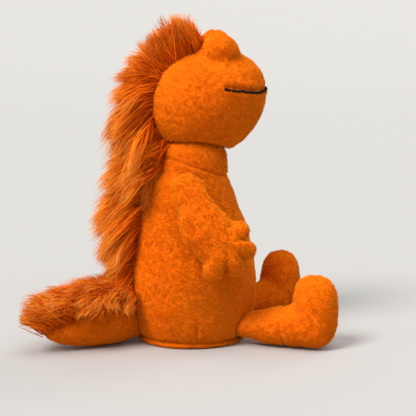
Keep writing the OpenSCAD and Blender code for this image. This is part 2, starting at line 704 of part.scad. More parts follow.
torso_side(RIGHT);  // torso_side_right
torso_side(LEFT);  // torso_side_left
base_panel();
base_seam_roll();
torso_filling();
pellet_bag();
pellets();
mane_back();
shoulder_stitch(RIGHT);  // shoulder_stitch_right
shoulder_stitch(LEFT);  // shoulder_stitch_left
neck_band();
neck_filling();
mane_neck();
head_side(RIGHT);  // head_side_right
head_side(LEFT);  // head_side_left
forehead_gusset();
chin_gusset();
head_filling();
mane_head();
brow(RIGHT);  // brow_right
brow(LEFT);  // brow_left
brow_filling();
eye(RIGHT);  // eye_right
eye(LEFT);  // eye_left
eye_washer(RIGHT);  // eye_washer_right
eye_washer(LEFT);  // eye_washer_left
mouth_stitch();
arm_panel(RIGHT, true);  // arm_right_outer
arm_panel(RIGHT, false);  // arm_right_inner
arm_filling(RIGHT);  // arm_right_filling
arm_panel(LEFT, true);  // arm_left_outer
arm_panel(LEFT, false);  // arm_left_inner
arm_filling(LEFT);  // arm_left_filling
leg_panel(RIGHT, 0);  // leg_right_upper
leg_panel(RIGHT, 180);  // leg_right_lower
leg_filling(RIGHT);  // leg_right_filling
foot_upper(RIGHT);  // foot_right_upper
foot_sole(RIGHT);  // foot_right_sole
foot_filling(RIGHT);  // foot_right_filling
leg_panel(LEFT, 0);  // leg_left_upper
leg_panel(LEFT, 180);  // leg_left_lower
leg_filling(LEFT);  // leg_left_filling
foot_upper(LEFT);  // foot_left_upper
foot_sole(LEFT);  // foot_left_sole
foot_filling(LEFT);  // foot_left_filling
tail_side(RIGHT);  // tail_side_right
tail_side(LEFT);  // tail_side_left
tail_filling();
mane_tail();
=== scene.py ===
"""The looks of a seated plush dinosaur.

Filled plush skins replace the CAD's panels and fillings. Short pile grows on them as tapered tufts, the mane as
locks of strands, and the mouth is a line of twisted yarn. Every length is in metres, in the CAD's own frame.
"""
import json
import math

import bmesh
import bpy
import numpy as np
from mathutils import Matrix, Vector
from mathutils.bvhtree import BVHTree
from mathutils.kdtree import KDTree


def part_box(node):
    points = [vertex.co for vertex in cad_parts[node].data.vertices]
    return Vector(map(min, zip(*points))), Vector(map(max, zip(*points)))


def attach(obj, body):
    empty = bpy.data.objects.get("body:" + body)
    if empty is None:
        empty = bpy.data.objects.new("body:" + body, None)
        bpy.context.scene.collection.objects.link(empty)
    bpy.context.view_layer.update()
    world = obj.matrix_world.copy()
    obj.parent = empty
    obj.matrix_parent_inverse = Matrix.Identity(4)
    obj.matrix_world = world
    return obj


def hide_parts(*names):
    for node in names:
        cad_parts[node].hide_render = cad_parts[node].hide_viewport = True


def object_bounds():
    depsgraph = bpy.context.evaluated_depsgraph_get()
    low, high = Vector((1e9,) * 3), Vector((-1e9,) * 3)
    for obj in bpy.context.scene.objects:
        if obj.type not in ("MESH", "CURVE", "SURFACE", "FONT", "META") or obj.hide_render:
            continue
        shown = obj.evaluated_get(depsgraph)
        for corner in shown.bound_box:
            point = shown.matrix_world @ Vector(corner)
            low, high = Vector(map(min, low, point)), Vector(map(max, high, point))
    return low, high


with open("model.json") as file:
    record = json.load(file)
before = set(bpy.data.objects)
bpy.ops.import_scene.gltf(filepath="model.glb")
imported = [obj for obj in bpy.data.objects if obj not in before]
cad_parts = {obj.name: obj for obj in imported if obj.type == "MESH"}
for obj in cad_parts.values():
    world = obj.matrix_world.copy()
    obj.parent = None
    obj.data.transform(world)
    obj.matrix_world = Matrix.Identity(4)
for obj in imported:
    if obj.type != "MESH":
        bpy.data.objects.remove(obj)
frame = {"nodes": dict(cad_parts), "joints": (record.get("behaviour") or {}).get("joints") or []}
cad_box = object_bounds()
nodes = frame["nodes"]
joints = {j["name"]: j for j in frame["joints"]}
scene = bpy.context.scene
rng = np.random.default_rng(2031)

MM = 0.001
UP = np.array([0.0, 0.0, 1.0])
BAKE_MAP = "OFBake"

# ---------------------------------------------------------------- camera, light and floor

VIEW_AZIMUTH = math.radians(-11)
VIEW_ELEVATION = math.radians(8.5)
VIEW_DISTANCE = 1.29
VIEW_CENTRE = Vector((0.017, 0, 0.131))
LENS = 111.6

LAMPS = [  # name, azimuth and elevation in degrees, strength, softness in degrees, colour
    ("key_lamp", -52, 46, 2.9, 22, (1, 0.97, 0.93)),
    ("top_lamp", 10, 78, 1.0, 45, (1, 1, 1)),
    ("rim_lamp", 120, 32, 0.6, 30, (1, 1, 1)),
]
ROOM_COLOUR = (0.86, 0.86, 0.85)
ROOM_STRENGTH = 0.5
FLOOR_COLOUR = (0.50, 0.495, 0.485)
FLOOR_FLAT = 3.0
FLOOR_REACH = 9.0
FLOOR_RISE = 2.4


def outward(azimuth, elevation):
    """The direction from the object towards a camera or lamp at that azimuth and elevation."""
    return Vector((math.sin(azimuth) * math.cos(elevation), -math.cos(azimuth) * math.cos(elevation),
                   math.sin(elevation)))


def aim(ob, centre, azimuth, elevation, distance):
    """Puts ob at a distance from a point, on that side of it, and turns it to look at the point."""
    back = outward(azimuth, elevation)
    ob.location = Vector(centre) + back * distance
    ob.rotation_mode = "QUATERNION"
    ob.rotation_quaternion = (-back).to_track_quat("-Z", "Y")


def add_camera():
    data = bpy.data.cameras.new("camera")
    data.lens = LENS
    data.sensor_width = 36
    cam = bpy.data.objects.new("camera", data)
    scene.collection.objects.link(cam)
    aim(cam, VIEW_CENTRE, VIEW_AZIMUTH, VIEW_ELEVATION, VIEW_DISTANCE)
    scene.camera = cam


def add_lamp(name, azimuth, elevation, strength, softness, colour):
    """A far, soft lamp: softness is the angle that it spans in degrees."""
    data = bpy.data.lights.new(name, "SUN")
    data.energy = strength
    data.angle = math.radians(softness)
    data.color = colour
    lamp = bpy.data.objects.new(name, data)
    scene.collection.objects.link(lamp)
    aim(lamp, (0, 0, 0.15), math.radians(azimuth), math.radians(elevation), 2)


def add_studio():
    for lamp in LAMPS:
        add_lamp(*lamp)
    world = bpy.data.worlds.new("studio")
    scene.world = world
    world.use_nodes = True
    background = world.node_tree.nodes["Background"]
    background.inputs["Color"].default_value = (*ROOM_COLOUR, 1)
    background.inputs["Strength"].default_value = ROOM_STRENGTH
    floor = new_object("floor", *sweep(FLOOR_FLAT, FLOOR_REACH, FLOOR_RISE))
    for f in floor.data.polygons:
        f.use_smooth = True
    floor.data.materials.append(plain_material("pale_floor", FLOOR_COLOUR, 0.85))


def sweep(flat, reach, height, steps=96, rows=24):
    """A round floor that is flat out to one radius and curves gently up beyond it, on every side."""
    a = np.arange(steps) * 2 * np.pi / steps
    points, faces = [], [list(range(steps))]
    for i in range(rows + 1):
        r = flat + (reach - flat) * i / rows
        z = height * (i / rows) ** 2
        points.append(np.stack([r * np.cos(a), r * np.sin(a), np.full(steps, z)], 1))
        if i:
            low, high = (i - 1) * steps, i * steps
            for j in range(steps):
                k = (j + 1) % steps
                faces.append([low + k, low + j, high + j, high + k])
    return np.concatenate(points), faces


# ---------------------------------------------------------------- small mesh tools

def new_object(name, points, faces):
    mesh = bpy.data.meshes.new(name)
    mesh.from_pydata([tuple(p) for p in points], [], [tuple(int(i) for i in f) for f in faces])
    mesh.update()
    ob = bpy.data.objects.new(name, mesh)
    scene.collection.objects.link(ob)
    return ob


def many_faces(name, points, faces, uv=None):
    """An object from arrays of points and of faces that all have the same number of corners."""
    mesh = bpy.data.meshes.new(name)
    count, corners = faces.shape
    mesh.vertices.add(len(points))
    mesh.vertices.foreach_set("co", points.astype(np.float32).ravel())
    mesh.loops.add(count * corners)
    mesh.loops.foreach_set("vertex_index", faces.astype(np.int32).ravel())
    mesh.polygons.add(count)
    mesh.polygons.foreach_set("loop_start", np.arange(0, count * corners, corners, dtype=np.int32))
    mesh.polygons.foreach_set("use_smooth", np.full(count, True))
    mesh.update(calc_edges=True)
    if uv is not None:
        layer = mesh.uv_layers.new(name=BAKE_MAP)
        layer.data.foreach_set("uv", uv[faces].astype(np.float32).ravel())
    ob = bpy.data.objects.new(name, mesh)
    scene.collection.objects.link(ob)
    return ob


def points_of(ob):
    co = np.zeros(len(ob.data.vertices) * 3, np.float32)
    ob.data.vertices.foreach_get("co", co)
    return co.reshape(-1, 3).astype(float)


def set_points(ob, co):
    ob.data.vertices.foreach_set("co", co.astype(np.float32).ravel())
    ob.data.update()


def normals_of(ob):
    n = np.zeros(len(ob.data.vertices) * 3, np.float32)
    ob.data.vertices.foreach_get("normal", n)
    return n.reshape(-1, 3).astype(float)


def applied(ob):
    """Replaces ob's mesh by what its modifiers make of it."""
    dg = bpy.context.evaluated_depsgraph_get()
    mesh = bpy.data.meshes.new_from_object(ob.evaluated_get(dg))
    ob.modifiers.clear()
    ob.data = mesh
    return ob


def smoothed(ob, times):
    m = ob.modifiers.new("smooth", "SMOOTH")
    m.factor, m.iterations = 0.5, times
    return applied(ob)


def subdivided(ob):
    m = ob.modifiers.new("subdivide", "SUBSURF")
    m.levels = m.render_levels = 1
    return applied(ob)


def tree_of(ob):
    return BVHTree.FromPolygons([v.co for v in ob.data.vertices], [p.vertices for p in ob.data.polygons])


def unit(v):
    return v / np.maximum(np.linalg.norm(v, axis=-1, keepdims=True), 1e-12)


# ---------------------------------------------------------------- noise on arrays of points

def lattice(i, seed):
    """A repeatable number from -1 to 1 for each lattice corner."""
    h = i[..., 0] * 374761393 + i[..., 1] * 668265263 + i[..., 2] * 2147483647 + seed * 1274126177
    h = h & 0xFFFFFFFF
    h = ((h ^ (h >> 13)) * 1274126177) & 0xFFFFFFFF
    h = h ^ (h >> 16)
    return h / 0x7FFFFFFF - 1.0


def noise(p, size, seed=0):
    """Smooth noise from -1 to 1 whose bumps are about size metres across."""
    q = p / size
    cell = np.floor(q).astype(np.int64)
    f = q - cell
    f = f * f * (3 - 2 * f)
    total = 0
    for corner in range(8):
        step = np.array([corner & 1, corner >> 1 & 1, corner >> 2 & 1])
        weight = np.prod(np.where(step, f, 1 - f), axis=-1)
        total = total + weight * lattice(cell + step, seed)
    return total


def noise_vector(p, size, seed):
    """Three independent noises as one vector for each point."""
    return np.stack([noise(p, size, seed + k) for k in (0, 11, 23)], -1)


# ---------------------------------------------------------------- materials

GROUND_GRAIN = 1.6 * MM


def node_material(name):
    """A new material with its nodes, its links and its shader."""
    mat = bpy.data.materials.new(name)
    mat.use_nodes = True
    return mat, mat.node_tree.nodes, mat.node_tree.links, mat.node_tree.nodes["Principled BSDF"]


def plain_material(name, colour, roughness):
    mat, _, _, shader = node_material(name)
    shader.inputs["Base Color"].default_value = (*colour, 1)
    shader.inputs["Roughness"].default_value = roughness
    return mat


def ramp(tree, stops):
    node = tree.new("ShaderNodeValToRGB")
    elements = node.color_ramp.elements
    while len(elements) < len(stops):
        elements.new(0.5)
    for element, (at, colour) in zip(elements, stops):
        element.position = at
        element.color = (*colour, 1)
    return node


def pile_material(name, stops, shade):
    """Hair colour from its place along the hair, v, and its own tone, u, on the hair's map. Along the hair the
    colour is darker at the root as painted shade and lighter at the tip as painted light.
    """
    mat, tree, links, shader = node_material(name)
    place = tree.new("ShaderNodeUVMap")
    place.uv_map = BAKE_MAP
    split = tree.new("ShaderNodeSeparateXYZ")
    links.new(place.outputs["UV"], split.inputs[0])
    # along: the hair's colour from root to tip, with painted shade at the root and painted light at the tip
    along = ramp(tree, stops)
    links.new(split.outputs["Y"], along.inputs["Fac"])
    tone = ramp(tree, shade)
    links.new(split.outputs["X"], tone.inputs["Fac"])
    mix = tree.new("ShaderNodeMix")
    mix.data_type = "RGBA"
    mix.blend_type = "MULTIPLY"
    mix.inputs["Factor"].default_value = 1
    links.new(along.outputs["Color"], mix.inputs["A"])
    links.new(tone.outputs["Color"], mix.inputs["B"])
    links.new(mix.outputs["Result"], shader.inputs["Base Color"])
    shader.inputs["Roughness"].default_value = 0.7
    shader.inputs["Specular IOR Level"].default_value = 0.04
    shader.inputs["Sheen Weight"].default_value = 0.05
    shader.inputs["Sheen Roughness"].default_value = 0.4
    shader.inputs["Sheen Tint"].default_value = (1, 0.45, 0.08, 1)
    return mat


def backing_material(name, dark, light):
    """The knitted ground that the pile stands on, mottled at the scale of its tufts."""
    mat, tree, links, shader = node_material(name)
    place = tree.new("ShaderNodeTexCoord")
    spots = tree.new("ShaderNodeTexNoise")
    spots.inputs["Scale"].default_value = 0.35 / GROUND_GRAIN
    spots.inputs["Detail"].default_value = 3
    links.new(place.outputs["Object"], spots.inputs["Vector"])
    mottle = ramp(tree, [(0.35, dark), (0.65, light)])
    links.new(spots.outputs["Fac"], mottle.inputs["Fac"])
    links.new(mottle.outputs["Color"], shader.inputs["Base Color"])
    bump = tree.new("ShaderNodeBump")
    bump.inputs["Strength"].default_value = 0.6
    bump.inputs["Distance"].default_value = 0.6 * MM
    links.new(spots.outputs["Fac"], bump.inputs["Height"])
    links.new(bump.outputs["Normal"], shader.inputs["Normal"])
    shader.inputs["Roughness"].default_value = 0.9
    shader.inputs["Specular IOR Level"].default_value = 0.04
    return mat


# Short pile, root to tip: its orange, darker at the root as painted shade between the tufts and lighter at the
# tip as painted light.
SHORT_HUE_ROOT_SHADE_TIP_LIGHT = [(0.0, (0.50, 0.070, 0.002)), (0.4, (0.92, 0.195, 0.003)), (1.0, (1.0, 0.275, 0.006))]
SHORT_SHADE = [(0.0, (0.84, 0.74, 0.65)), (0.5, (0.98, 0.96, 0.93)), (1.0, (1, 1.15, 1.4))]
# Long pile, root to tip: its orange, darker at the root as painted shade inside the locks and golden at the tip
# as painted highlight.
LONG_HUE_ROOT_SHADE_TIP_LIGHT = [(0.0, (0.62, 0.080, 0.001)), (0.3, (0.86, 0.150, 0.003)), (0.75, (0.95, 0.235, 0.010)),
              (1.0, (0.98, 0.39, 0.055))]
LONG_SHADE = [(0.0, (0.68, 0.52, 0.42)), (0.5, (0.95, 0.92, 0.9)), (1.0, (1.02, 1.2, 1.5))]
mat_short = pile_material("short_pile", SHORT_HUE_ROOT_SHADE_TIP_LIGHT, SHORT_SHADE)
mat_long = pile_material("long_pile", LONG_HUE_ROOT_SHADE_TIP_LIGHT, LONG_SHADE)
mat_back = backing_material("plush_ground", (0.70, 0.12, 0.002), (0.88, 0.18, 0.003))

# ---------------------------------------------------------------- filled skins

VOXEL = 2.6 * MM
PILE = 2.2 * MM
SKIN_INSET = 1.5 * MM
SIM_FRAMES = 20
SIM_CAP = 1.6 * MM
SIM_PRESSURE = 4.0


def joined_copy(name, members):
    """A new object that holds the meshes of several CAD nodes, which stay as they are."""
    mesh = bpy.data.meshes.new(name)
    bm = bmesh.new()
    for member in members:
        bm.from_mesh(nodes[member].data)
    bm.to_mesh(mesh)
    bm.free()
    ob = bpy.data.objects.new(name, mesh)
    scene.collection.objects.link(ob)
    return ob


def largest_shell(ob):
    """Keeps only the outer shell: the connected part with the widest box."""
    bm = bmesh.new()
    bm.from_mesh(ob.data)
    left = set(bm.verts)
    shells = []
    while left:
        stack = [left.pop()]
        shell = list(stack)
        while stack:
            for edge in stack.pop().link_edges:
                for v in edge.verts:
                    if v in left:
                        left.discard(v)
                        stack.append(v)
                        shell.append(v)
        shells.append(shell)

    def width(shell):
        co = np.array([v.co for v in shell])
        return float(np.linalg.norm(co.max(0) - co.min(0)))

    keep = max(shells, key=width)
    doomed = [v for shell in shells if shell is not keep for v in shell]
    bmesh.ops.delete(bm, geom=doomed, context="VERTS")
    bm.to_mesh(ob.data)
    bm.free()
    ob.data.update()


def remeshed(ob, smooth):
    """Turns the joined panels and filling into one even, closed skin."""
    m = ob.modifiers.new("remesh", "REMESH")
    m.mode, m.voxel_size, m.adaptivity = "VOXEL", VOXEL, 0
    applied(ob)
    largest_shell(ob)
    return smoothed(ob, smooth)


def lathe(name, profile, steps=120):
    """A closed surface of revolution about a vertical axis, from (radius, height) pairs, bottom to top."""
    a = np.arange(steps) * 2 * np.pi / steps
    rows = [np.stack([r * np.cos(a), r * np.sin(a), np.full(steps, z)], 1) for r, z in profile]
    points = np.concatenate(rows + [[[0, 0, profile[0][1]], [0, 0, profile[-1][1]]]])
    faces = []
    for i in range(len(profile) - 1):
        for j in range(steps):
            k = (j + 1) % steps
            faces.append([i * steps + j, i * steps + k, (i + 1) * steps + k, (i + 1) * steps + j])
    bottom, top = len(points) - 2, len(points) - 1
    last = (len(profile) - 1) * steps
    for j in range(steps):
        k = (j + 1) % steps
        faces.append([bottom, k, j])
        faces.append([top, last + j, last + k])
    return new_object(name, points, faces)


def puffed(ob, held=None, cap=SIM_CAP):
    """Swells the closed mesh with air pressure, as filling does, while the held points, its seams, stay.
    No point moves further than cap."""
    start = points_of(ob)
    m = ob.modifiers.new("cloth", "CLOTH")
    s = m.settings
    s.quality = 4
    s.mass = 0.2
    s.tension_stiffness = s.compression_stiffness = 12
    s.bending_stiffness = 0.4
    s.use_pressure = True
    s.uniform_pressure_force = SIM_PRESSURE
    s.effector_weights.gravity = 0
    if held is not None:
        group = ob.vertex_groups.new(name="seams")
        for index in np.flatnonzero(held):
            group.add([int(index)], 1.0, "REPLACE")
        s.vertex_group_mass = "seams"
    for f in range(1, SIM_FRAMES + 1):
        scene.frame_set(f)
    applied(ob)
    scene.frame_set(1)
    moved = points_of(ob) - start
    length = np.linalg.norm(moved, axis=1, keepdims=True)
    set_points(ob, start + moved * np.minimum(1, cap / np.maximum(length, 1e-9)))
    return ob


def pushed(ob, amount):
    """Moves each point along its normal by amount, a number or one number for each point."""
    set_points(ob, points_of(ob) + normals_of(ob) * np.reshape(amount, (-1, 1)))
    return ob


def finished_skin(ob, body, replaced, creases=None, lumps=0.45 * MM, inset=SKIN_INSET):
    """Subdivides a skin, adds its lumps and seam creases, and puts it on its body."""
    subdivided(ob)
    p = points_of(ob)
    depth = lumps * (noise(p, 19 * MM, 3) + 0.4 * noise(p, 9 * MM, 5)) - inset
    if creases is not None:
        depth = depth - creases(p)
    pushed(ob, depth)
    for f in ob.data.polygons:
        f.use_smooth = True
    ob.data.materials.clear()
    ob.data.materials.append(mat_back)
    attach(ob, body)
    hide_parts(*replaced)
    return ob


def groove(distance, width, depth):
    """The depth of a soft groove at a distance from its middle."""
    return depth * np.exp(-(distance / width) ** 2)


def resampled(line, step):
    """Points at even steps along a line, and how far along it each one is."""
    gaps = np.linalg.norm(np.diff(line, axis=0), axis=1)
    along = np.concatenate([[0], np.cumsum(gaps)])
    at = np.arange(0, along[-1], step)
    return np.stack([np.interp(at, along, line[:, k]) for k in range(3)], 1), at


def distance_to(line, p, reach=12 * MM):
    """Each point's distance to a line through space, or reach where it is further than that."""
    spots, _ = resampled(line, 0.5 * MM)
    tree = KDTree(len(spots))
    for i, spot in enumerate(spots):
        tree.insert(spot, i)
    tree.balance()
    found = np.full(len(p), reach)
    near = ((p > spots.min(0) - reach) & (p < spots.max(0) + reach)).all(1)
    for i in np.flatnonzero(near):
        found[i] = min(reach, tree.find(p[i])[2])
    return found


# ---------------------------------------------------------------- short pile

def is_inside(tree, points, lo, hi):
    """Whether each point is inside the closed mesh, by counting the walls that a ray out of it meets."""
    way = Vector((0.31, 0.83, 0.46)).normalized()
    found = np.zeros(len(points), bool)
    for i in np.flatnonzero(((points > lo) & (points < hi)).all(1)):
        start, walls = Vector(points[i]), 0
        while walls < 40:
            near = tree.ray_cast(start, way)[0]
            if near is None:
                break
            walls += 1
            start = near + way * 1e-5
        found[i] = walls % 2 == 1
    return found


def scatter(ob, density, keep=None):
    """Random spots on the mesh with their normals: density per square metre, keep a mask of its triangles."""
    mesh = ob.data
    mesh.calc_loop_triangles()
    tri = np.zeros(len(mesh.loop_triangles) * 3, np.int32)
    mesh.loop_triangles.foreach_get("vertices", tri)
    tri = tri.reshape(-1, 3)
    p, n = points_of(ob), normals_of(ob)
    a, b, c = p[tri[:, 0]], p[tri[:, 1]], p[tri[:, 2]]
    area = np.linalg.norm(np.cross(b - a, c - a), axis=1) / 2
    middle_normal = unit(n[tri[:, 0]] + n[tri[:, 1]] + n[tri[:, 2]])
    weight = area * (1 if keep is None else keep((a + b + c) / 3, middle_normal))
    total = weight.sum()
    count = int(total * density)
    pick = np.searchsorted(np.cumsum(weight) / total, rng.random(count))
    pick = np.minimum(pick, len(tri) - 1)
    u, v = rng.random((2, count))
    flip = u + v > 1
    u[flip], v[flip] = 1 - u[flip], 1 - v[flip]
    w = 1 - u - v
    spot = w[:, None] * a[pick] + u[:, None] * b[pick] + v[:, None] * c[pick]
    m = n[tri[pick]]
    return spot, unit(w[:, None] * m[:, 0] + u[:, None] * m[:, 1] + v[:, None] * m[:, 2])


def sideways(n):
    """A level direction along the surface."""
    t = np.cross(UP, n)
    return unit(np.where(np.linalg.norm(t, axis=1, keepdims=True) < 0.05, [[1.0, 0, 0]], t))


def downhill(n):
    return unit(np.cross(n, sideways(n)))


SHORT_DENSITY = 1.7e6
TUFT_WIDTH = 0.42 * MM
ROOT_DEPTH = 0.3 * MM
THIRDS = (0, 2.094, 4.189)


def short_pile(skin, name, body, flow, curl=0.25, length=PILE, keep=None, thin=None):
    """Covers a skin with tapered tufts. flow gives each tuft's lean along the surface, curl how far tufts
    gather into small curls, and thin, if given, each spot's share of the full length."""
    p, n = scatter(skin, SHORT_DENSITY * (1), keep)
    count = len(p)
    gather = noise_vector(p, 2.8 * MM, 7) + 0.7 * noise_vector(p, 1.5 * MM, 31)
    lean = flow(p, n)
    direction = unit(n * 0.62 + lean * 0.5 + gather * curl + rng.normal(0, 0.13, (count, 3)))
    direction = unit(direction + n * np.maximum(0, 0.25 - (direction * n).sum(1))[:, None])
    size = length * (0.78 + 0.25 * noise(p, 5 * MM, 13) + rng.random(count) * 0.3)
    if thin is not None:
        size = size * thin(p)
    side = unit(np.cross(direction, rng.normal(0, 1, (count, 3))))
    other = np.cross(direction, side)
    width = TUFT_WIDTH * (0.8 + 0.5 * rng.random(count))[:, None]
    root = p - n * ROOT_DEPTH
    corners = [root + width * (math.cos(a) * side + math.sin(a) * other) for a in THIRDS]
    tip = root + direction * size[:, None]
    points = np.stack([*corners, tip], 1).reshape(-1, 3)
    base = np.arange(count)[:, None] * 4
    faces = np.concatenate([base + np.array(f) for f in ([0, 1, 3], [1, 2, 3], [2, 0, 3])])
    tone = np.clip(0.55 + 0.15 * noise(p, 2.6 * MM, 17) + 0.10 * noise(p, 24 * MM, 19)
                   + rng.normal(0, 0.14, count), 0.02, 0.98)
    u = tone[:, None] + np.array([[-0.008, 0.008, 0.0, 0.0]])
    # v: the place along the tuft, whose colour holds painted shade at the root and painted light at the tip
    v = np.clip(size / length, 0, 1)[:, None] * np.array([[0, 0, 0, 0.97]]) + 0.015
    uv = np.stack([u, v], -1).reshape(-1, 2)
    ob = many_faces(name, points, faces, uv)
    ob.data.materials.append(mat_short)
    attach(ob, body)
    return ob


# ---------------------------------------------------------------- long pile

STRANDS = 70
STRAND_STEPS = 7
STRAND_WIDTH = 0.42 * MM
LOCK_SPREAD = 3.4 * MM
CAD_LOW, CAD_HIGH = np.array(cad_box[0]), np.array(cad_box[1])
ROOM_LOW = CAD_LOW - 0.03 * (CAD_HIGH - CAD_LOW) - 9 * MM
ROOM_HIGH = CAD_HIGH + 0.03 * (CAD_HIGH - CAD_LOW) + 9 * MM
ROOM_EDGE = 4 * MM


def kept_in_room(p):
    """Bends hair that would leave the room round the CAD's box, gently and only near the room's edge."""
    high = ROOM_HIGH - ROOM_EDGE
    low = ROOM_LOW + ROOM_EDGE
    p = np.where(p > high, high + ROOM_EDGE * (1 - np.exp(-np.maximum(p - high, 0) / ROOM_EDGE)), p)
    return np.where(p < low, low - ROOM_EDGE * (1 - np.exp(-np.maximum(low - p, 0) / ROOM_EDGE)), p)


def long_pile(skin, name, body, replaced, locks, shape, keep):
    """Grows locks of hair. shape(p, n) gives each lock's length, first direction, sag and side bend."""
    strands = STRANDS
    centre, normal = scatter(skin, 1e6, keep)
    pick = rng.choice(len(centre), min(locks, len(centre)), replace=False)
    centre, normal = centre[pick], normal[pick]
    count = len(centre)
    length, start, sag, bend = shape(centre, normal)
    s = np.linspace(0, 1, STRAND_STEPS + 1)
    wave = rng.uniform(0, 2 * np.pi, (count, 2))
    across = unit(np.cross(start, UP + rng.normal(0, 0.2, (count, 3))))
    lift = np.cross(across, start)

    def curve(root, first, size, drop, turn, a, b, sway):
        """Points along hairs: arrays over hairs, then steps, then x, y and z."""
        t = s[None, :, None]
        way = first[:, None] * (t - 0.18 * t ** 2) - UP * (drop[:, None, None] * t ** 1.8)
        line = root[:, None] + size[:, None, None] * (way + turn[:, None] * t ** 2)
        swing = np.sin(sway[:, :1, None] + 6.0 * t) - np.sin(sway[:, :1, None])
        rise = np.sin(sway[:, 1:, None] + 5.0 * t) - np.sin(sway[:, 1:, None])
        return line + size[:, None, None] * 0.07 * t * (swing * a[:, None] + 0.8 * rise * b[:, None])

    spine = curve(centre, start, length, sag, bend, across, lift, wave)
    lock = np.repeat(np.arange(count), strands)
    total = len(lock)
    spread = rng.normal(0, 1, (total, 3)) * LOCK_SPREAD
    spread -= normal[lock] * (spread * normal[lock]).sum(1, keepdims=True)
    root = centre[lock] + spread - normal[lock] * 0.8 * MM
    size = length[lock] * rng.uniform(0.62, 1.08, total)
    first = unit(start[lock] + rng.normal(0, 0.16, (total, 3)))
    own = curve(root, first, size, sag[lock] * rng.uniform(0.7, 1.3, total), bend[lock],
                across[lock], lift[lock], wave[lock] + rng.normal(0, 0.35, (total, 2)))
    pull = (0.80 * np.clip(s / 0.75, 0, 1) ** 1.3)[None, :, None] * rng.uniform(0.55, 1.0, (total, 1, 1))
    stretch = (size / length[lock])[:, None, None]
    target = centre[lock][:, None] + (spine[lock] - centre[lock][:, None]) * stretch
    line = own * (1 - pull) + target * pull
    tangent = unit(np.gradient(line, axis=1))
    side = unit(np.cross(tangent, rng.normal(0, 1, (total, 1, 3))))
    half = STRAND_WIDTH * np.interp(s, [0, 0.3, 0.7, 1], [0.9, 1.0, 0.62, 0.10])[None, :, None]
    half = half * rng.uniform(0.7, 1.25, (total, 1, 1))
    points = np.stack([line - side * half, line + side * half], 2).reshape(-1, 3)
    row = np.arange(STRAND_STEPS)[None, :] * 2 + np.arange(total)[:, None] * 2 * (STRAND_STEPS + 1)
    faces = np.stack([row, row + 1, row + 3, row + 2], -1).reshape(-1, 4)
    tone = np.clip(0.5 + rng.normal(0, 0.16, count)[lock] + rng.normal(0, 0.13, total), 0.02, 0.98)
    u = tone[:, None, None] + np.array([-0.008, 0.008])[None, None, :]
    u = np.broadcast_to(u, (total, STRAND_STEPS + 1, 2))
    # v: the place along the strand, whose colour holds painted shade at the root and painted highlight at the
    # tip
    v = np.broadcast_to((0.01 + 0.98 * s)[None, :, None], u.shape)
    uv = np.stack([u, v], -1).reshape(-1, 2)
    points = kept_in_room(points)
    points[:, 2] = np.maximum(points[:, 2], 0.4 * MM)
    ob = many_faces(name, points, faces, uv)
    ob.data.materials.append(mat_long)
    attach(ob, body)
    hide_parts(*replaced)
    return ob


# ---------------------------------------------------------------- torso

torso_cad = np.concatenate([points_of(nodes["torso_side_right"]), points_of(nodes["torso_side_left"])])
neck_seam = Vector(joints["neck_turn"]["pos_m"])
neck_axis = Vector(joints["neck_turn"]["axis"])
base_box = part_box("base_panel")
roll_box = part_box("base_seam_roll")
BASE_R = base_box[1].x
ROLL_R = (roll_box[1].z - roll_box[0].z) / 2
ROLL_X = roll_box[1].x - ROLL_R
WALL_STEP = 1 * MM
WALL_ROWS = 58
TOP_OVER = 2 * MM


def torso_profile():
    """Radius and height up the torso: flat base, rolled seam, then the wall as the CAD panels have it."""
    profile = [(BASE_R * k, 0.2 * MM) for k in (0.25, 0.5, 0.75, 0.93)]
    for a in np.radians(np.linspace(-90, 70, 8)):
        profile.append((ROLL_X + ROLL_R * math.cos(a), ROLL_R + ROLL_R * math.sin(a)))
    radius = np.linalg.norm(torso_cad[:, :2], axis=1)
    heights = np.unique(np.round(torso_cad[:, 2], 4))
    wall = [(radius[np.abs(torso_cad[:, 2] - z) < 0.6 * MM].max(), z) for z in heights]
    wall_r = np.array([w[0] for w in wall])
    wall_z = np.array([w[1] for w in wall])
    foot, top = 2.3 * ROLL_R, neck_seam.z + TOP_OVER
    level = np.arange(foot, top, WALL_STEP)
    wall_r = np.interp(level, wall_z, wall_r)
    for _ in range(30):
        wall_r[1:-1] = (wall_r[:-2] + 2 * wall_r[1:-1] + wall_r[2:]) / 4
    for z in np.linspace(foot, top, WALL_ROWS):
        profile.append((float(np.interp(z, level, wall_r)), float(z)))
    r, z = profile[-1]
    for k in (0.97, 0.9, 0.7, 0.4, 0.15):
        profile.append((r * k, z + 0.2 * MM))
    return profile


def leaned(p, start):
    """Shears the points above start so that the top follows the sloping neck seam."""
    q = p.copy()
    share = np.clip((p[:, 2] - start) / (neck_seam.z - start), 0, 1) ** 1.5
    q[:, 2] -= p[:, 0] * share * neck_axis.x / neck_axis.z
    return q


def stooped(p, low, high, amount):
    """Fills out the upper back, which the seam of the neck draws in again."""
    q = p.copy()
    angle = np.arctan2(p[:, 1], p[:, 0])
    rise = np.clip((p[:, 2] - low) / (high - low), 0, 1)
    top = neck_seam.z + 3 * MM
    drop = np.clip((top - p[:, 2]) / (top - high), 0, 1) ** 0.5
    push = amount * rise ** 1.3 * drop * np.clip(-np.cos(angle), 0, 1)
    q[:, 0] -= push * np.abs(np.cos(angle))
    q[:, 1] += push * np.sin(angle)
    return q


def neck_gap(p):
    """Distance above the lower neck seam's plane."""
    return (p - np.array(neck_seam)) @ np.array(neck_axis)


DARTS = (-95, 95)
DART_HEIGHT = 30 * MM
LEAN_START = 105 * MM
STOOP_LOW, STOOP_HIGH, STOOP = 100 * MM, 158 * MM, 8 * MM


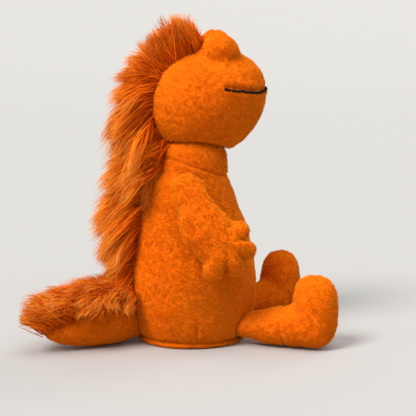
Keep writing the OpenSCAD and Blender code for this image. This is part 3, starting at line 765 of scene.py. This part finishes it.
def torso_creases(p):
    """The seam over the base roll, the two darts, the front seam, and the collar that swells under the neck."""
    angle = np.degrees(np.arctan2(p[:, 1], p[:, 0]))
    radius = np.linalg.norm(p[:, :2], axis=1)
    wall = p[:, 2] > 2 * ROLL_R
    seam = 2.35 * ROLL_R + 0.8 * MM * noise(p * np.array([1, 1, 0]), 16 * MM, 29)
    base = groove(p[:, 2] - seam, 1.7 * MM, 1.9 * MM) - groove(p[:, 2] - 1.1 * ROLL_R, 2.6 * MM, 0.9 * MM)
    base = base * (radius > ROLL_X - ROLL_R)
    fade = np.clip((DART_HEIGHT - p[:, 2]) / (12 * MM), 0, 1)
    depth = base * 0.8
    for dart in DARTS:
        depth = depth + groove(np.radians(angle - dart) * radius, 1.5 * MM, 1.6 * MM) * fade * wall
    in_front = np.clip(np.cos(np.radians(angle)) + 0.2, 0, 1)
    collar = np.exp(-((neck_gap(p) + 7 * MM) / (12 * MM)) ** 2) * in_front
    return depth + groove(np.radians(angle) * radius, 1.6 * MM, 0.9 * MM) * wall - 1.8 * MM * collar


def build_torso():
    skin = lathe("torso_skin", torso_profile())
    p = stooped(leaned(points_of(skin), LEAN_START), STOOP_LOW, STOOP_HIGH, STOOP)
    set_points(skin, p)
    puffed(skin, held=(p[:, 2] < 2.6 * ROLL_R) | (neck_gap(p) > -6 * MM))
    replaced = ["torso_side_right", "torso_side_left", "base_panel", "base_seam_roll", "torso_filling",
                "shoulder_stitch_right", "shoulder_stitch_left"]
    return finished_skin(skin, "torso", replaced, torso_creases)


# ---------------------------------------------------------------- the other skins

SOFTEN_TIMES = 14


def softened(ob, share):
    """Smooths the skin where share(p), from 0 to 1, says so."""
    edges = np.zeros(len(ob.data.edges) * 2, np.int32)
    ob.data.edges.foreach_get("vertices", edges)
    edges = edges.reshape(-1, 2)
    p = points_of(ob)
    part = share(p)[:, None]
    count = np.bincount(edges.ravel(), minlength=len(p))[:, None]
    for _ in range(SOFTEN_TIMES):
        total = np.zeros_like(p)
        np.add.at(total, edges[:, 0], p[edges[:, 1]])
        np.add.at(total, edges[:, 1], p[edges[:, 0]])
        p = p + part * 0.6 * (total / count - p)
    set_points(ob, p)


def skin_of(name, body, members, creases=None, smooth=5, cap=SIM_CAP, reshape=None,
            inset=SKIN_INSET, soften=None):
    """One filled plush skin in the place of the CAD nodes named in members."""
    ob = remeshed(joined_copy(name, members), smooth)
    if soften is not None:
        softened(ob, soften)
    if reshape is not None:
        set_points(ob, reshape(points_of(ob)))
    puffed(ob, cap=cap)
    return finished_skin(ob, body, members, creases, inset=inset)


def sided(stems, side):
    """The node names of one side."""
    return [name.replace("SIDE", side) for name in stems]


ARM_NODES = ["arm_SIDE_outer", "arm_SIDE_inner", "arm_SIDE_filling"]
LEG_NODES = ["leg_SIDE_upper", "leg_SIDE_lower", "leg_SIDE_filling",
             "foot_SIDE_upper", "foot_SIDE_sole", "foot_SIDE_filling"]


def leg_frame(side):
    """The hip's place and the leg's own direction, level and outwards."""
    joint = joints[f"leg_{side}_lift"]
    axis = Vector(joint["axis"])
    return np.array(joint["pos_m"]), np.array(axis.cross(Vector((0, 0, -1))))


def ankle_crease(side):
    """The fold across the instep, where the leg turns up into the foot."""
    hip, along = leg_frame(side)
    if along[0] < 0:
        along = -along
    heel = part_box(f"foot_{side}_upper")
    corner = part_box(f"leg_{side}_upper")
    reach = max(abs(np.dot(np.array(corner[k]) - hip, along)) for k in (0, 1))

    def depth(p):
        far = (p - hip) @ along
        high = p[:, 2] / heel[1].z
        seam = reach * 0.80 + 2.5 * MM * np.cos(high * 6)
        return groove(far - seam, 1.8 * MM, 1.6 * MM) * (high < 0.62)

    return depth


# The neck: a round band from the torso's seam up into the head's socket.
neck_across = Vector((neck_axis.z, 0, -neck_axis.x))
NECK_AXES = np.array([neck_across, (0, 1, 0), neck_axis])
neck_points = (points_of(nodes["neck_band"]) - np.array(neck_seam)) @ NECK_AXES.T
NECK_R = np.linalg.norm(neck_points[:, :2], axis=1).max()
NECK_MID = (Vector(joints["head_nod"]["pos_m"]) - neck_seam).length
BAND_SLOPE = math.radians(18)


def band_seam(p):
    """Distance from the plane of the seam that closes the neck band below: low in front, high behind."""
    return (p[:, 2] - neck_seam.z - 8 * MM) * math.cos(BAND_SLOPE) + p[:, 0] * math.sin(BAND_SLOPE)


def build_neck():
    profile = [((NECK_R + 0.6 * MM) * k, -1.6 * MM) for k in (0.2, 0.5, 0.8, 0.95)]
    for h in np.linspace(-1.2 * MM, NECK_MID, 9):
        profile.append((NECK_R + 0.8 * MM * (1 - h / NECK_MID), h))
    for a in np.radians(np.linspace(6, 66, 11)):
        profile.append((NECK_R * math.cos(a), NECK_MID + NECK_R * math.sin(a)))
    skin = lathe("neck_skin", profile)
    local = points_of(skin)
    set_points(skin, local @ NECK_AXES + np.array(neck_seam))
    puffed(skin, held=(local[:, 2] < 3 * MM) | (local[:, 2] > NECK_MID))
    return finished_skin(skin, "neck", ["neck_band", "neck_filling"],
                         lambda q: groove(band_seam(q), 1.5 * MM, 1.7 * MM), inset=1.2 * MM)


# The head: its panels and the two brow bumps are one skin.
head_centre = (np.array(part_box("head_filling")[0]) + np.array(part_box("head_filling")[1])) / 2
HEAD_PANELS = ["head_side_right", "head_side_left", "forehead_gusset", "chin_gusset"]


def brow_bump(side):
    """The lowest and highest corner, the centre and the radius of one brow bump."""
    lo, hi = (np.array(c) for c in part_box(f"brow_{side}"))
    return lo, hi, (lo + hi) / 2, (hi[1] - lo[1]) / 2


def peaked(p):
    """Draws each brow bump up to a soft peak that leans back, over a wider foot."""
    q = p.copy()
    for side in ("right", "left"):
        _, hi, centre, radius = brow_bump(side)
        top = hi[2]
        gap = np.linalg.norm(p[:, :2] - centre[:2], axis=1)
        high = np.clip((p[:, 2] - (top - 1.4 * radius)) / (1.4 * radius), 0, 1)
        near = (gap < 1.25 * radius) * (np.sign(p[:, 1]) == np.sign(centre[1])) * high
        q[:, 0] -= near ** 2 * 2.2 * MM
        q[:, :2] += (centre[:2] - p[:, :2]) * (0.50 * near ** 2 - 0.18 * np.sin(np.pi * near))[:, None]
        q[:, 2] += near ** 3 * 3.0 * MM
    return q


def brow_foot(p):
    """Where the brow bumps meet the head, which is rounded into one slope."""
    share = 0
    for side in ("right", "left"):
        lo, hi, centre, radius = brow_bump(side)
        gap = np.linalg.norm(p[:, :2] - centre[:2], axis=1)
        share = np.maximum(share, np.exp(-((gap - radius) / (0.28 * radius)) ** 2)
                           * np.clip((hi[2] - 0.5 * radius - p[:, 2]) / (0.4 * radius), 0, 1)
                           * (p[:, 2] > lo[2] - 0.2 * radius))
    return share


def line_round_head(points, count, about, start):
    """Orders a cloud of points by their angle about an axis through the head, and averages them in slices."""
    q = points - head_centre
    a = np.degrees(np.arctan2(q @ np.cross(about, start), q @ start))
    edges = np.linspace(a.min(), a.max(), count + 1)
    spots = [points[(a >= lo) & (a <= hi)].mean(0) for lo, hi in zip(edges[:-1], edges[1:])
             if ((a >= lo) & (a <= hi)).any()]
    return np.array(spots)


MOUTH_RISE = 2.2 * MM
mouth = line_round_head(points_of(nodes["mouth_stitch"]), 31, np.array([0, 0, 1.0]), np.array([1.0, 0, 0]))
for _ in range(6):
    mouth[1:-1] = (mouth[:-2] + 2 * mouth[1:-1] + mouth[2:]) / 4
mouth[:, 2] += MOUTH_RISE


def gusset_edge(side):
    """The seam between the forehead's strip and a head panel."""
    tree = tree_of(nodes["forehead_gusset"])
    panel = points_of(nodes[f"head_side_{side}"])
    close = [p for p in panel if tree.find_nearest(Vector(p))[3] < 1.2 * MM]
    return line_round_head(np.array(close), 9, np.array([0, 1.0, 0]), np.array([0.7, 0, -0.7]))


def head_creases(p):
    """The mouth's groove between its two lips, the forehead's seams, and the wrinkles of the cheeks."""
    lips = distance_to(mouth, p)
    q = p - head_centre
    depth = groove(lips, 2.6 * MM, 2.8 * MM)
    order = np.argsort(mouth[:, 0])
    above = q[:, 2] > np.interp(p[:, 0], mouth[order, 0], mouth[order, 2]) - head_centre[2]
    depth -= groove(lips - 5.5 * MM, 3.0 * MM, 0.9 * MM) * np.where(above, 0.5, 1.0)
    for side in ("right", "left"):
        depth += groove(distance_to(gusset_edge(side), p), 1.4 * MM, 0.6 * MM)
    cheek = np.exp(-(((p[:, 0] - head_centre[0] - 28 * MM) / (12 * MM)) ** 2)
                   - ((q[:, 2] + 16 * MM) / (16 * MM)) ** 2)
    return depth + cheek * 0.7 * MM * noise(p * np.array([1.0, 0.3, 0.35]), 4.2 * MM, 61)


# The arms: mitts with four fingers, parted by creases that run in from the edge.
PALM = 66 * MM
ARM_DOWN = math.radians(62)
PARTINGS = (74, 25, -25)


def mitt_frame(side):
    """The palm's centre, and the directions along the arm and across it."""
    joint = joints[f"arm_{side}_swing"]
    out = Vector(joint["axis"]).normalized()
    if out.y * (-1 if side == "right" else 1) < 0:
        out = -out
    level = Vector((1, 0, 0))
    up = level.cross(out) * (1 if level.cross(out).z > 0 else -1)
    along = np.array(level * math.cos(ARM_DOWN) - up * math.sin(ARM_DOWN))
    across = np.array(level * math.sin(ARM_DOWN) + up * math.cos(ARM_DOWN))
    return np.array(joint["pos_m"]) + along * PALM, along, across


def plumped(side):
    """Rounds the arm out behind, between the shoulder and the hand."""
    palm, along, across = mitt_frame(side)

    def reshape(p):
        q = p - palm
        far = np.clip((q @ along + PALM) / PALM, 0, 1.2)
        back = np.clip(-(q @ across) / (12 * MM), 0, 1)
        push = 9.0 * MM * np.exp(-((far - 0.57) / 0.40) ** 2) * back
        return p - across * push[:, None]

    return reshape


def mitt_creases(side):
    """The creases that part one mitt's fingers."""
    palm, along, across = mitt_frame(side)

    def depth(p):
        q = p - palm
        total = 0
        for angle in PARTINGS:
            a = math.radians(angle)
            way = along * math.cos(a) + across * math.sin(a)
            beside = across * math.cos(a) - along * math.sin(a)
            far = np.clip((q @ way - 9 * MM) / (9 * MM), 0, 1)
            total = total + groove(q @ beside, 2.1 * MM, 2.8 * MM) * far
        return total

    return depth


torso = build_torso()
neck = build_neck()
head = skin_of("head_skin", "head", HEAD_PANELS + ["head_filling", "brow_right", "brow_left"],
               creases=head_creases, reshape=peaked, soften=brow_foot)
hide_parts("brow_filling")
tail = skin_of("tail_skin", "tail", ["tail_side_right", "tail_side_left", "tail_filling"])
arms = {s: skin_of(f"arm_{s}_skin", f"arm_{s}", sided(ARM_NODES, s), smooth=8, creases=mitt_creases(s),
                   cap=2.4 * MM, inset=0.6 * MM, reshape=plumped(s))
        for s in ("right", "left")}
legs = {s: skin_of(f"leg_{s}_skin", f"leg_{s}", sided(LEG_NODES, s), creases=ankle_crease(s))
        for s in ("right", "left")}

# ---------------------------------------------------------------- the short pile of each skin

tail_root = np.array(joints["tail_swing"]["pos_m"])
tail_way = unit((points_of(nodes["mane_tail"]).mean(0) - tail_root) * np.array([1, 1, 0]))
STRIP_HALF = 13 * MM


def under_mane(name):
    """A test of skin points: does the room of the CAD's long pile start over them?"""
    tree = tree_of(nodes[name])
    points = points_of(nodes[name])
    lo, hi = points.min(0), points.max(0)
    return lambda p, n: is_inside(tree, p + n * 3.5 * MM, lo, hi)


def outside(test):
    """The opposite of a test of skin points."""
    return lambda p, n: ~test(p, n)


strips = {name: under_mane(name) for name in ("mane_head", "mane_neck", "mane_back", "mane_tail")}


def on_nape(p, n):
    """The back of the head between the CAD's pile and the neck."""
    low = (p[:, 2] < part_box("mane_head")[0].z + 12 * MM) & (p[:, 0] < head_centre[0] - 22 * MM)
    return strips["mane_head"](p, n) | (low & (np.abs(p[:, 1]) < STRIP_HALF) & (n[:, 0] < -0.2))


def on_rump(p, n):
    """The back strip's last stretch, between the CAD's pile and the tail."""
    below = p[:, 2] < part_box("mane_back")[0].z + 2 * MM
    low = below & (p[:, 2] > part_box("tail_filling")[1].z + 3 * MM)
    return strips["mane_back"](p, n) | (low & (np.abs(p[:, 1]) < STRIP_HALF) & (p[:, 0] < 0))


def on_tail_root(p, n):
    """The top of the tail from the torso on."""
    far = (p - tail_root) @ tail_way
    return strips["mane_tail"](p, n) | ((far < 24 * MM) & (far > 5 * MM) & (n[:, 2] > 0.75))


def brushed(p, n):
    """Pile on the torso: brushed level round the body, with a slow waver, and a little down."""
    sway = noise(p, 30 * MM, 41)[:, None]
    return sideways(n) * (0.55 + 0.6 * sway) + downhill(n) * (0.25 + 0.35 * noise(p, 24 * MM, 43)[:, None])


def settled(p, n):
    """Pile on the other skins: a little downhill, with a slow waver to the sides."""
    return downhill(n) * 0.45 + sideways(n) * 0.5 * noise(p, 20 * MM, 47)[:, None]


off_back = outside(strips["mane_back"])
for side, sign in (("right", -1), ("left", 1)):
    short_pile(torso, f"torso_pile_{side}", "torso", brushed, curl=0.42,
               keep=lambda p, n, k=sign: off_back(p, n) & (p[:, 1] * k > 0))
short_pile(neck, "neck_pile", "neck", settled, keep=outside(strips["mane_neck"]),
           thin=lambda p: 1 - groove(band_seam(p), 1.8 * MM, 0.6))
short_pile(head, "head_pile", "head", settled, curl=0.40, keep=outside(strips["mane_head"]),
           thin=lambda p: 1 - groove(distance_to(mouth, p), 2.6 * MM, 0.65))
short_pile(tail, "tail_pile", "tail", settled, keep=outside(strips["mane_tail"]))
for side in ("right", "left"):
    short_pile(arms[side], f"arm_{side}_pile", f"arm_{side}", settled, curl=0.52, length=2.8 * MM)
    short_pile(legs[side], f"leg_{side}_pile", f"leg_{side}", settled, curl=0.40)

# ---------------------------------------------------------------- the mane

FORWARDS = np.array([1.0, 0, 0])


def varied(p, grain, share, seed, low, high):
    """Each lock's share of the full length: waves that neighbours share, and a draw of its own."""
    return (1 + share * noise(p, grain, seed)) * rng.uniform(low, high, len(p))


def strayed(p, size, amount, seed):
    """Sideways drift that neighbouring locks share, so that they part into larger waves."""
    return amount * noise_vector(p, size, seed)


def crown_hair(p, n):
    """Stands up on the crown, then sweeps back and down over the nape."""
    q = p - head_centre
    turn = np.clip(np.degrees(np.arctan2(q[:, 2], -q[:, 0])), -60, 120)
    low = np.clip((80 - turn) / 80, 0, 1)
    rise = np.exp(-((turn - 45) / 28) ** 2)
    front = np.clip((turn - 70) / 25, 0, 1)
    length = (44 + 12 * low + 7 * rise - 2 * front) * MM * varied(p, 9 * MM, 0.16, 71, 0.85, 1.08)
    fan = np.stack([0 * low, p[:, 1] / (30 * MM) + rng.normal(0, 0.2, len(p)), 0 * low], 1)
    start = unit(n + fan + FORWARDS * (0.15 - 0.2 * low + 0.42 * front)[:, None]
                 + strayed(p, 11 * MM, 0.32, 73) + UP * (0.55 * rise - 0.3 * low ** 3)[:, None])
    sag = 0.02 + 0.42 * low ** 1.3 * rng.uniform(0.7, 1.3, len(p))
    return length, start, sag, fan * 0.25


def back_hair(p, n):
    """Long at the nape and shorter at the rump, standing out and hanging down the back."""
    low = np.clip((130 * MM - p[:, 2]) / (50 * MM), 0, 1)
    high = np.clip((p[:, 2] - 130 * MM) / (40 * MM), 0, 1)
    length = (52 - 19 * low + 12 * high) * MM * varied(p, 13 * MM, 0.18, 77, 0.82, 1.12)
    fan = np.stack([0 * low, p[:, 1] / (28 * MM) + rng.normal(0, 0.22, len(p)), 0 * low], 1)
    nape = np.clip((p[:, 2] - neck_seam.z) / (20 * MM), 0, 1)
    start = unit(n * 0.95 + fan + UP * (0.45 * nape - 0.20 - 0.27 * low)[:, None]
                 + strayed(p, 13 * MM, 0.40, 79))
    sag = rng.uniform(0.28, 0.52, len(p))
    return length, start, sag, fan * 0.15


def tail_hair(p, n):
    """Sweeps along the tail and falls over its sides; at the tip it stands up."""
    far = np.clip(((p - tail_root) @ tail_way) / 0.1, 0, 1)
    length = (52 + 4 * far) * MM * varied(p, 13 * MM, 0.14, 83, 0.84, 1.08)
    beside = np.cross(UP, tail_way)
    wide = ((p - tail_root) @ beside) / (22 * MM)
    fan = beside * (wide + rng.normal(0, 0.15, len(p)))[:, None]
    start = unit(n * 0.6 + tail_way * (0.75 + 0.6 * far)[:, None] + UP * far[:, None] ** 2
                 + fan * 0.75 + strayed(p, 16 * MM, 0.2, 85))
    sag = 0.14 + (0.5 - 0.22 * far) * np.minimum(1.2, np.abs(wide)) * rng.uniform(0.75, 1.25, len(p))
    return length, start, sag, fan * 0.25


for body, skin, strip, locks, shape, keep in (
        ("head", head, "mane_head", 185, crown_hair, on_nape),
        ("neck", neck, "mane_neck", 60, back_hair, strips["mane_neck"]),
        ("torso", torso, "mane_back", 185, back_hair, on_rump),
        ("tail", tail, "mane_tail", 185, tail_hair, on_tail_root)):
    long_pile(skin, f"{strip}_pile", body, [strip], locks, shape, keep)

# ---------------------------------------------------------------- mouth, eyes and hidden pieces

YARN_R = 1.15 * MM
YARN_PLIES = 3
YARN_SIDES = 7
YARN_TWIST = 3.4 * MM
STITCH = 5.2 * MM


def build_mouth():
    """Back stitches of twisted yarn: the line dips into the plush at each stitch's end."""
    line, at = resampled(mouth, 0.35 * MM)
    ground = tree_of(head)
    line = np.array([ground.find_nearest(Vector(p))[0] for p in line])
    for _ in range(40):
        line[1:-1] = (line[:-2] + line[1:-1] * 2 + line[2:]) / 4
    tangent = unit(np.gradient(line, axis=0))
    out = unit(line - head_centre - ((line - head_centre) * tangent).sum(1, keepdims=True) * tangent)
    high = np.cross(tangent, out)
    phase = (at / STITCH) % 1
    number = np.floor(at / STITCH)
    dip = np.abs(np.sin(np.pi * phase)) ** 0.5
    wobble = 0.45 * MM * noise(np.stack([number, number * 0, number * 0], 1), 1.0, 5)
    path = line + out * (0.7 * MM + dip * 0.9 * MM)[:, None] + high * wobble[:, None]
    points, faces = [], []
    for ply in range(YARN_PLIES):
        turn = 2 * np.pi * (at / YARN_TWIST + ply / YARN_PLIES)
        centre = path + (np.cos(turn)[:, None] * out + np.sin(turn)[:, None] * high) * (YARN_R * 0.55)
        for a in np.arange(YARN_SIDES) * 2 * np.pi / YARN_SIDES:
            points.append(centre + (math.cos(a) * out + math.sin(a) * high) * (YARN_R * 0.62))
    points = np.stack(points)
    n = points.shape[1]
    i = np.arange(n - 1)
    for ply in range(YARN_PLIES):
        for j in range(YARN_SIDES):
            a, b = (ply * YARN_SIDES + j) * n, (ply * YARN_SIDES + (j + 1) % YARN_SIDES) * n
            faces.append(np.stack([a + i, a + i + 1, b + i + 1, b + i], 1))
    ob = many_faces("mouth_yarn", points.reshape(-1, 3), np.concatenate(faces))
    ob.data.materials.append(yarn_material())
    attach(ob, "head")
    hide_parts("mouth_stitch")


def yarn_material():
    """Black cotton with a fine grain of fibres."""
    mat, tree, links, shader = node_material("black_yarn")
    place = tree.new("ShaderNodeTexCoord")
    fibre = tree.new("ShaderNodeTexNoise")
    fibre.inputs["Scale"].default_value = 2200
    links.new(place.outputs["Object"], fibre.inputs["Vector"])
    tint = ramp(tree, [(0.3, (0.004, 0.003, 0.003)), (0.7, (0.022, 0.018, 0.016))])
    links.new(fibre.outputs["Fac"], tint.inputs["Fac"])
    links.new(tint.outputs["Color"], shader.inputs["Base Color"])
    shader.inputs["Roughness"].default_value = 0.85
    shader.inputs["Specular IOR Level"].default_value = 0.08
    return mat


def moulded_material(name, colour, roughness, grain):
    """Moulded plastic or cloth in one colour, with faint spots; grain is how much darker they are."""
    mat, tree, links, shader = node_material(name)
    place = tree.new("ShaderNodeTexCoord")
    spots = tree.new("ShaderNodeTexNoise")
    spots.inputs["Scale"].default_value = 900
    links.new(place.outputs["Object"], spots.inputs["Vector"])
    tint = ramp(tree, [(0.3, tuple(c * (1 - grain) for c in colour)), (0.7, colour)])
    links.new(spots.outputs["Fac"], tint.inputs["Fac"])
    links.new(tint.outputs["Color"], shader.inputs["Base Color"])
    shader.inputs["Roughness"].default_value = roughness
    return mat


def dress_cad(node, mat):
    """Gives a CAD node that is kept as it is its material."""
    data = nodes[node].data
    data.materials.clear()
    data.materials.append(mat)


build_mouth()
bead = moulded_material("black_bead", (0.012, 0.011, 0.011), 0.08, 0.3)
bead.node_tree.nodes["Principled BSDF"].inputs["Coat Weight"].default_value = 0.6
washer = moulded_material("washer_plastic", (0.75, 0.75, 0.73), 0.5, 0.1)
lining = moulded_material("bag_cotton", (0.78, 0.76, 0.70), 0.9, 0.25)
pellet = moulded_material("pellet_plastic", (0.72, 0.72, 0.70), 0.45, 0.4)
for side in ("right", "left"):
    dress_cad(f"eye_{side}", bead)
    dress_cad(f"eye_washer_{side}", washer)
dress_cad("pellet_bag", lining)
dress_cad("pellets", pellet)

# ---------------------------------------------------------------- scene

add_camera()
add_studio()
scene.view_settings.view_transform = "Standard"
